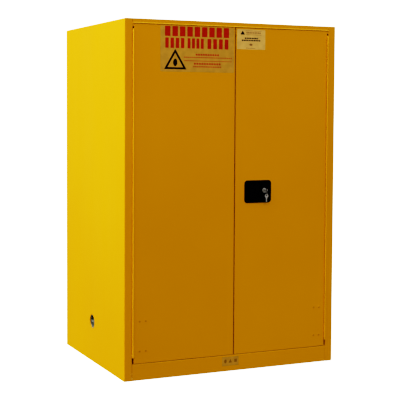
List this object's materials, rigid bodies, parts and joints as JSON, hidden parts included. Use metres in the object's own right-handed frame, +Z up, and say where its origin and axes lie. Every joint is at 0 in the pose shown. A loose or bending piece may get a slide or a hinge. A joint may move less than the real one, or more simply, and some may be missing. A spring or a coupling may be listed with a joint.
{
  "type": "flammable storage cabinet",
  "caption": "Free-standing two-door double-wall steel safety cabinet for flammable liquids, with shelves, leakproof sill, vents, flush paddle latch and three-point bolts.",
  "frame": {"origin": "floor level under the middle of the cabinet", "axes": "+X to the right of someone facing the doors, doors face -Y, +Z up"},
  "size_m": [1.098, 0.9198, 1.651],
  "materials": {
    "yellow_paint": "semi-gloss powder coat with fine orange peel",
    "galvanised_steel": "galvanised, dull",
    "zinc_steel": "zinc plated",
    "black_enamel": "semi-gloss black enamel on die-cast zinc",
    "nickel": "nickel plated brass, handled",
    "brass": "plain brass",
    "rubber": "moulded rubber",
    "label_film": "printed adhesive film"
  },
  "bodies": {
    "cabinet": {"flame_arresters": "zinc_steel", "foot_nuts": "zinc_steel", "front_header": "yellow_paint", "front_sill": "yellow_paint", "ground_nut": "brass", "ground_stud": "brass", "inner_back": "yellow_paint", "inner_left_side": "yellow_paint", "inner_right_side": "yellow_paint", "inner_top": "yellow_paint", "left_hinge_frame_leaf": "yellow_paint", "left_hinge_pin": "zinc_steel", "left_vent_collar": "yellow_paint", "lower_shelf": "galvanised_steel", "outer_back": "yellow_paint", "outer_bottom": "yellow_paint", "outer_left_side": "yellow_paint", "outer_right_side": "yellow_paint", "outer_top": "yellow_paint", "right_hinge_frame_leaf": "yellow_paint", "right_hinge_pin": "zinc_steel", "right_vent_collar": "yellow_paint", "rod_strikes": "zinc_steel", "shelf_clips": "galvanised_steel", "shelf_standards": "galvanised_steel", "sump_floor": "yellow_paint", "upper_shelf": "galvanised_steel"},
    "left_door": {"left_door_skin": "yellow_paint", "left_door_inner_panel": "yellow_paint", "left_door_brace": "galvanised_steel", "left_door_rivets": "yellow_paint", "left_door_bumpers": "rubber", "left_hinge_door_leaf": "yellow_paint", "bolt_strike": "zinc_steel"},
    "right_door": {"right_door_skin": "yellow_paint", "right_door_inner_panel": "yellow_paint", "right_door_brace": "galvanised_steel", "right_door_rivets": "yellow_paint", "right_door_bumpers": "rubber", "right_hinge_door_leaf": "yellow_paint", "latch_tray": "black_enamel", "paddle_pin": "zinc_steel", "paddle_spring": "zinc_steel", "lock_body": "nickel", "rod_guides": "galvanised_steel"},
    "paddle": {"paddle": "black_enamel"},
    "key": {"lock_plug": "nickel", "lock_cam": "zinc_steel", "key": "nickel"},
    "spare_key": {"key_ring": "zinc_steel", "spare_key": "nickel"},
    "upper_rod": {"upper_rod": "zinc_steel"},
    "lower_rod": {"lower_rod": "zinc_steel"},
    "centre_bolt": {"centre_bolt": "zinc_steel"},
    "front_left_foot": {"front_left_foot": "zinc_steel"},
    "front_right_foot": {"front_right_foot": "zinc_steel"},
    "rear_left_foot": {"rear_left_foot": "zinc_steel"},
    "rear_right_foot": {"rear_right_foot": "zinc_steel"},
    "left_vent_bung": {"left_vent_bung": "zinc_steel"},
    "right_vent_bung": {"right_vent_bung": "zinc_steel"}
  },
  "joints": [
    {"name": "left_door_hinge", "type": "hinge", "parent": "cabinet", "child": "left_door", "pos_m": [-0.5075, -0.437, 0.85], "axis": [0, 0, -1], "range_deg": [0, 175]},
    {"name": "right_door_hinge", "type": "hinge", "parent": "cabinet", "child": "right_door", "pos_m": [0.5075, -0.437, 0.85], "axis": [0, 0, 1], "range_deg": [0, 175]},
    {"name": "paddle_pull", "type": "hinge", "parent": "right_door", "child": "paddle", "pos_m": [0.142, -0.428, 0.8525], "axis": [0, 0, 1], "range_deg": [0, 35], "stiffness_Nm_per_rad": 0.4, "springref_deg": -17.19},
    {"name": "key_turn", "type": "hinge", "parent": "right_door", "child": "key", "pos_m": [0.163, -0.437, 0.858], "axis": [0, -1, 0], "range_deg": [0, 90]},
    {"name": "upper_rod_throw", "type": "slide", "parent": "right_door", "child": "upper_rod", "axis": [0, 0, 1], "range_m": [0, 0.0127]},
    {"name": "lower_rod_throw", "type": "slide", "parent": "right_door", "child": "lower_rod", "axis": [0, 0, -1], "range_m": [0, 0.0127]},
    {"name": "centre_bolt_throw", "type": "slide", "parent": "right_door", "child": "centre_bolt", "axis": [-1, 0, 0], "range_m": [0, 0.0127]},
    {"name": "spare_key_swing", "type": "hinge", "parent": "key", "child": "spare_key", "pos_m": [0.163, -0.4593, 0.858], "axis": [-1, 0, 0], "range_deg": [-3, 70]},
    {"name": "front_left_foot_screw", "type": "slide", "parent": "cabinet", "child": "front_left_foot", "axis": [0, 0, -1], "range_m": [0, 0.02]},
    {"name": "front_right_foot_screw", "type": "slide", "parent": "cabinet", "child": "front_right_foot", "axis": [0, 0, -1], "range_m": [0, 0.02]},
    {"name": "rear_left_foot_screw", "type": "slide", "parent": "cabinet", "child": "rear_left_foot", "axis": [0, 0, -1], "range_m": [0, 0.02]},
    {"name": "rear_right_foot_screw", "type": "slide", "parent": "cabinet", "child": "rear_right_foot", "axis": [0, 0, -1], "range_m": [0, 0.02]},
    {"name": "left_vent_bung_unscrew", "type": "slide", "parent": "cabinet", "child": "left_vent_bung", "axis": [-1, 0, 0], "range_m": [0, 0.04]},
    {"name": "right_vent_bung_unscrew", "type": "slide", "parent": "cabinet", "child": "right_vent_bung", "axis": [1, 0, 0], "range_m": [0, 0.04]}
  ],
  "couplings": [
    {"joint": "upper_rod_throw", "follows": "key_turn", "m_per_rad": 0.008085},
    {"joint": "lower_rod_throw", "follows": "key_turn", "m_per_rad": 0.008085},
    {"joint": "centre_bolt_throw", "follows": "key_turn", "m_per_rad": 0.008085}
  ]
}
